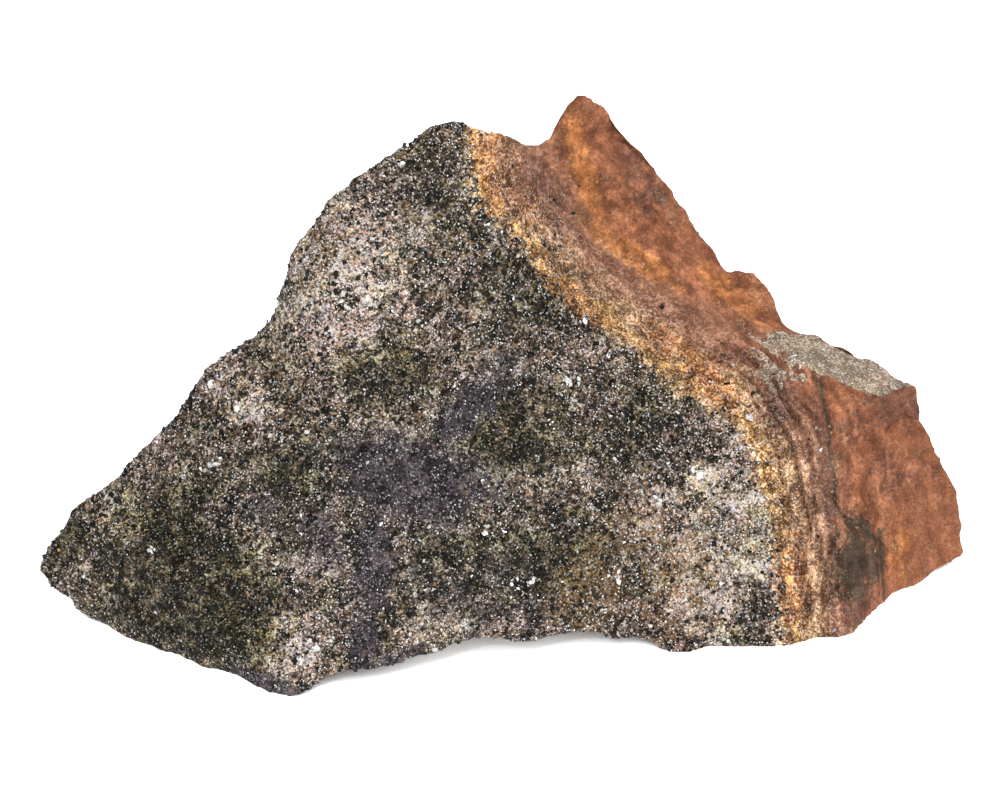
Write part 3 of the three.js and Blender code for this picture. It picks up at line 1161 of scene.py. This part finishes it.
    def mark(self, piece: bpy.types.Object) -> None:
        """Keeps on the skin where each band and patch lies.

        Args:
            piece: The skin.
        """
        points = points_of(piece)
        places = on_face(points)
        front = clamp((BACK_STARTS_MM - 1.0 - behind_face(points)) / 3.0)
        fields = {stain.value: patch_cover(places, stain) for stain in Stain}
        for stain in (Stain.PALE, Stain.VIOLET, Stain.OLIVE, Stain.RUST):
            fields[stain.value] = fields[stain.value] * front
        fields["rind"] = rind_distance(points)
        fields["way"] = beside_line(places, RIND_EDGE_PX)[1]
        beyond = beside_line(places, STEP_PX)[0]
        above = np.maximum(self.step_top_px - places[:, 1], 0.0) / 3.0
        fields["step"] = np.where(beyond < 0, beyond - above, beyond + above)
        fields["fin"] = beside_line(places, CREASE_PX)[0]
        fields["ledge"] = self.ledge_cover(piece, points)
        for name, values in fields.items():
            attribute = piece.data.attributes.new(name, "FLOAT", "POINT")
            attribute.data.foreach_set("value", values.astype(np.float32))

    def ledge_cover(self, piece: bpy.types.Object, points: np.ndarray) -> np.ndarray:
        """Finds the up-facing top of the right block, which is grey and silvery, and lighter partly
        as painted light from above.

        Args:
            piece: The skin.
            points: Its corners.

        Returns:
            Cover from 0 to 1.
        """
        level = clamp((normals_of(piece)[:, 2] - 0.70) / 0.14)
        x, z = points[:, 0] / MM, points[:, 2] / MM
        below_fin = clamp((on_face(points)[:, 1] - self.fin_foot_px) / 8.0)
        return level * (clamp((x - 24.0) / 3.0) * clamp((z - 16.0) / 2.0)) * below_fin


@dataclass
class Grains:
    """Loose grains of one mineral, set into the skin all over the stone."""

    kind: GrainKind
    finish: GrainFinish
    count: int
    smallest: float
    largest: float
    flatness: float = 0.7
    sunk: float = 0.3
    on_fresh: float = 1.0
    on_rind: float = 0.0
    liking: dict[Stain, float] = field(default_factory=dict)
    gleam: float = 0.5
    seed: int = SEED
    wildness: float = 3.0
    lumps: tuple[float, float] = (0.65, 1.25)
    widths: tuple[float, float] = (0.6, 1.0)
    places: tuple[Spot, ...] = ()
    spread_px: float = 2.5
    front_from: float = 0.3
    rind_fade_mm: float = 3.0
    drift_share: float = 0.6
    lowest: float = 0.4 * MM
    mosaic_grains: float = 6000.0
    mosaic_tilt: float = 0.25

    def build(self, skin: bpy.types.Object, groups: NodeGroups) -> bpy.types.Object:
        """Builds, places and dresses the grains.

        Args:
            skin: The stone's skin, which carries them.
            groups: The shared shader groups.

        Returns:
            The grains as one piece.
        """
        points, faces = self.template()
        rng = np.random.default_rng(self.seed)
        spots, normals = self.spots_on(skin, rng)
        turns = self.random_turns(rng, normals)
        sizes = (self.smallest + (self.largest - self.smallest) * rng.random(self.count)**3) * 0.5
        shape = rng.uniform(*self.lumps, (self.count, len(points), 1))
        widths = sizes * rng.uniform(*self.widths, self.count)
        scale = np.stack([sizes, widths, sizes * self.flatness], axis=1)
        local = points[None] * shape * scale[:, None, :]
        placed = np.einsum("kij,knj->kni", turns, local)
        placed += (spots - normals * sizes[:, None] * self.sunk)[:, None, :]
        placed[..., 2] = np.maximum(placed[..., 2], 0.0)
        index = faces[None] + np.arange(self.count)[:, None, None] * len(points)
        mesh = bpy.data.meshes.new(self.kind.value)
        mesh.from_pydata(placed.reshape(-1, 3).tolist(), [], index.reshape(-1, 3).tolist())
        shades = np.repeat(rng.random(self.count), len(points)).astype(np.float32)
        mesh.attributes.new("shade", "FLOAT", "POINT").data.foreach_set("value", shades)
        piece = bpy.data.objects.new(self.kind.value, mesh)
        bpy.context.scene.collection.objects.link(piece)
        mesh.materials.append(self.material(groups))
        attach(piece, "root")
        return piece

    def template(self) -> tuple[np.ndarray, np.ndarray]:
        """Models the one grain that is copied.

        Returns:
            Its corners and its triangles.
        """
        deselect_all()
        if self.kind in (GrainKind.MICA, GrainKind.BIOTITE):
            bpy.ops.mesh.primitive_cylinder_add(vertices=6, radius=1.0, depth=2.0)
        elif self.kind is GrainKind.QUARTZ:
            bpy.ops.mesh.primitive_cone_add(vertices=5, radius1=1.0, depth=1.7)
        else:
            bpy.ops.mesh.primitive_ico_sphere_add(subdivisions=1, radius=1.0)
        model = bpy.context.object
        apply_modifier(model, "TRIANGULATE")
        points = points_of(model).astype(float)
        faces = np.array([tuple(face.vertices) for face in model.data.polygons])
        bpy.data.objects.remove(model, do_unlink=True)
        return points, faces

    def spots_on(self, skin: bpy.types.Object,
                 rng: np.random.Generator) -> tuple[np.ndarray, np.ndarray]:
        """Chooses where the grains sit.

        Args:
            skin: The stone's skin.
            rng: The source of chance.

        Returns:
            Places and outward normals.
        """
        faces = skin.data.polygons
        centres = rows_of(faces, "center", kind=np.float64)
        normals = rows_of(faces, "normal", kind=np.float64)
        areas = rows_of(faces, "area", 1, np.float64)[:, 0]
        if self.places:
            turned_away = np.where(normals @ FACE_OUTWARDS > self.front_from, 0, 1e6)
            seen = on_face(centres)
            chosen = []
            for i, shift in enumerate(rng.normal(0.0, self.spread_px, (self.count, 2))):
                gap = seen - self.places[i % len(self.places)] - shift
                chosen.append(int(np.argmin(np.hypot(*gap.T) + turned_away)))
            return centres[chosen], normals[chosen]
        rind = rind_distance(centres)
        drift = np.sin(centres[:, 0] * 900) * np.sin(centres[:, 2] * 1100 + centres[:, 1] * 700)
        on_rind = self.on_rind * np.exp(-np.maximum(rind, 0) / self.rind_fade_mm)
        weights = np.where(rind > 0, on_rind, self.on_fresh)
        places = on_face(centres)
        for stain, change in self.liking.items():
            weights = weights * np.maximum(1.0 + change * patch_cover(places, stain), 0.0)
        weights = weights * areas * (1.0 + self.drift_share * drift)
        weights = weights * (centres[:, 2] > self.lowest)
        chosen = rng.choice(len(areas), self.count, p=weights / weights.sum())
        return centres[chosen], normals[chosen]

    def random_turns(self, rng: np.random.Generator, normals: np.ndarray) -> np.ndarray:
        """Turns each grain at random, the more the greater its wildness is.

        Args:
            rng: The source of chance.
            normals: Outward normals.

        Returns:
            One turning matrix per grain.
        """
        up = normals + rng.normal(0.0, self.wildness, normals.shape)
        up /= np.linalg.norm(up, axis=1, keepdims=True)
        side = np.cross(up, rng.normal(0.0, 1.0, normals.shape))
        side /= np.linalg.norm(side, axis=1, keepdims=True)
        return np.stack([side, np.cross(up, side), up], axis=2)

    def material(self, groups: NodeGroups) -> bpy.types.Material:
        """Mixes the grains' material.

        Args:
            groups: The shared shader groups.

        Returns:
            The material.
        """
        material, sheet, shader = new_material(self.kind.value)
        place = sheet.add("ShaderNodeTexCoord").outputs["Object"]
        cloud = sheet.group(groups.mosaic, Vector=place, Grains_per_metre=self.mosaic_grains,
                            Tilt=self.mosaic_tilt)
        color = sheet.mix(sheet.attribute("shade"), self.finish.dark, self.finish.light)
        tone = sheet.line(cloud.outputs["Tone"], 0.5, 0.75)
        for name, value in (
            ("Base Color", sheet.scaled(color, tone)),
            ("Roughness", sheet.line(cloud.outputs["Glint"], 0.3, self.finish.roughness)),
            ("Metallic", self.finish.metallic),
            ("Specular IOR Level", self.gleam),
            ("Normal", cloud.outputs["Normal"]),
        ):
            sheet.feed(shader.inputs[name], value)
        return material


@dataclass
class Studio:
    """The plain floor, the soft light and the camera."""

    camera_distance: float = 450 * MM
    camera_aim: Point = (-0.0005, 0.0, 0.0198)
    focal_px: float = 4387.5
    sensor_width: float = 36.0
    floor_side: float = 4.0
    floor_color: Color = (0.86, 0.86, 0.86)
    floor_roughness: float = 0.9
    floor_gleam: float = 0.1
    # The floor's painted glow, which fades to a painted contact shadow where the stone hides the
    # floor.
    floor_glow: float = 1.0
    glow_open_from: float = 0.10
    glow_open_to: float = 0.28
    painted_shadow_reach: float = 6 * MM
    sky: float = 0.34
    key_power: float = 8.5
    key_place: Point = (0.30, -0.22, 0.95)
    key_side: float = 0.40
    glint_power: float = 2.2
    glint_place: Point = (-0.25, -0.70, 0.80)
    glint_side: float = 0.05

    def build(self) -> None:
        """Builds the whole studio."""
        self.build_floor()
        self.build_sky()
        self.build_light("key", self.key_place, self.key_power, self.key_side)
        self.build_light("glint", self.glint_place, self.glint_power, self.glint_side)
        self.build_camera()

    def build_floor(self) -> None:
        """Lays the floor, which glows with painted light and darkens to a painted contact shadow
        close under the stone.
        """
        deselect_all()
        bpy.ops.mesh.primitive_plane_add(size=self.floor_side)
        floor = bpy.context.object
        floor.name = "floor"
        material, sheet, shader = new_material("floor")
        # Painted light and shadow: the floor glows where it is open, and the glow fades close under
        # the stone.
        sky = sheet.add("ShaderNodeAmbientOcclusion", {"Distance": self.painted_shadow_reach}, samples=8)
        painted_glow = sheet.step(sky.outputs["AO"], self.glow_open_from, self.glow_open_to, 0.0, self.floor_glow)
        for name, value in (
            ("Base Color", self.floor_color),
            ("Roughness", self.floor_roughness),
            ("Specular IOR Level", self.floor_gleam),
            ("Emission Color", self.floor_color),
            ("Emission Strength", painted_glow),
        ):
            sheet.feed(shader.inputs[name], value)
        floor.data.materials.append(material)

    def build_sky(self) -> None:
        """Sets the even light that comes from all round."""
        world = bpy.data.worlds.new("studio")
        world.use_nodes = True
        background = world.node_tree.nodes["Background"]
        background.inputs[0].default_value = (1.0, 1.0, 1.0, 1.0)
        background.inputs[1].default_value = self.sky
        bpy.context.scene.world = world
        bpy.context.scene.view_settings.view_transform = "Standard"

    def build_light(self, name: str, place: Point, power: float, side: float) -> None:
        """Hangs a square lamp that points at the stone.

        Args:
            name: The lamp's name.
            place: Where it hangs.
            power: Its power in watts.
            side: Its side.
        """
        deselect_all()
        bpy.ops.object.light_add(type="AREA", location=place)
        lamp = bpy.context.object
        lamp.name = name
        lamp.data.shape = "SQUARE"
        lamp.data.size = side
        lamp.data.energy = power
        ray = Vector(self.camera_aim) - Vector(place)
        lamp.rotation_euler = ray.to_track_quat("-Z", "Y").to_euler()

    def build_camera(self) -> None:
        """Sets the camera at the photograph's angle."""
        data = bpy.data.cameras.new("camera")
        data.sensor_width = self.sensor_width
        data.lens = self.focal_px / FRAME_WIDTH_PX * self.sensor_width
        data.clip_start = 10 * MM
        camera = bpy.data.objects.new("camera", data)
        look = Vector((0.0, math.cos(FACE_LEAN), -math.sin(FACE_LEAN)))
        camera.location = Vector(self.camera_aim) - look * self.camera_distance
        camera.rotation_euler = (math.pi / 2 - FACE_LEAN, 0.0, 0.0)
        bpy.context.scene.collection.objects.link(camera)
        bpy.context.scene.camera = camera


# Places of the large light crystals, at the big glints: their near-white colour is partly their own
# pale tone and partly painted highlight.
CRYSTAL_PLACES: tuple[Spot, ...] = (
    (566, 378), (566, 380), (216, 462), (217, 463), (367, 302), (370, 304), (239, 405), (205, 387),
    (418, 326), (400, 169), (484, 528), (580, 317), (511, 580), (525, 581), (470, 155), (797, 364),
    (786, 357), (745, 416), (722, 584), (612, 578), (722, 636), (275, 304), (340, 300), (346, 309),
    (305, 427), (152, 546), (312, 640), (320, 612), (300, 655), (330, 632), (430, 640), (610, 458),
    (655, 500), (690, 470), (546, 420),
)

GRAINS: tuple[Grains, ...] = (
    Grains(GrainKind.CRYSTAL, GrainFinish((0.55, 0.53, 0.50), (0.97, 0.97, 0.98), 0.25),
           count=4 * len(CRYSTAL_PLACES), smallest=0.36 * MM, largest=1.15 * MM, flatness=0.6,
           places=CRYSTAL_PLACES, seed=SEED + 5),
    Grains(GrainKind.BIOTITE, GrainFinish((0.003, 0.003, 0.002), (0.016, 0.015, 0.010), 0.4),
           count=7500, smallest=0.20 * MM, largest=0.75 * MM, flatness=0.5, on_rind=0.12,
           liking={Stain.VIOLET: -0.85, Stain.PALE: -0.4, Stain.OLIVE: 0.4}, gleam=0.25,
           seed=SEED + 1),
    Grains(GrainKind.QUARTZ, GrainFinish((0.13, 0.115, 0.09), (0.60, 0.58, 0.54), 0.4),
           count=15000, smallest=0.13 * MM, largest=0.6 * MM, on_rind=0.45,
           liking={Stain.VIOLET: -0.7, Stain.PALE: 0.8, Stain.OLIVE: -0.75}, seed=SEED + 2),
    Grains(GrainKind.MICA, GrainFinish((0.35, 0.34, 0.33), (0.92, 0.92, 0.94), 0.12, 0.6),
           count=1800, smallest=0.16 * MM, largest=0.55 * MM, flatness=0.12, sunk=0.0, on_rind=0.3,
           liking={Stain.OLIVE: -0.5}, wildness=0.6, seed=SEED + 3),
    Grains(GrainKind.OCHRE, GrainFinish((0.22, 0.095, 0.04), (0.50, 0.27, 0.10), 0.6),
           count=4000, smallest=0.16 * MM, largest=0.6 * MM, on_fresh=0.004, on_rind=1.0,
           gleam=0.2, seed=SEED + 4),
)


def main() -> None:
    """Builds the studio, the skin and the grains."""
    logging.basicConfig(level=logging.INFO, format="%(message)s")
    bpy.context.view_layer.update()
    Studio().build()
    log.info("studio is set")
    groups = NodeGroups()
    skin = StoneSkin().build(groups)
    log.info("stone_skin has %d faces", len(skin.data.polygons))
    for grains in GRAINS:
        piece = grains.build(skin, groups)
        log.info("%s has %d faces", piece.name, len(piece.data.polygons))


if __name__ == "__main__":
    main()
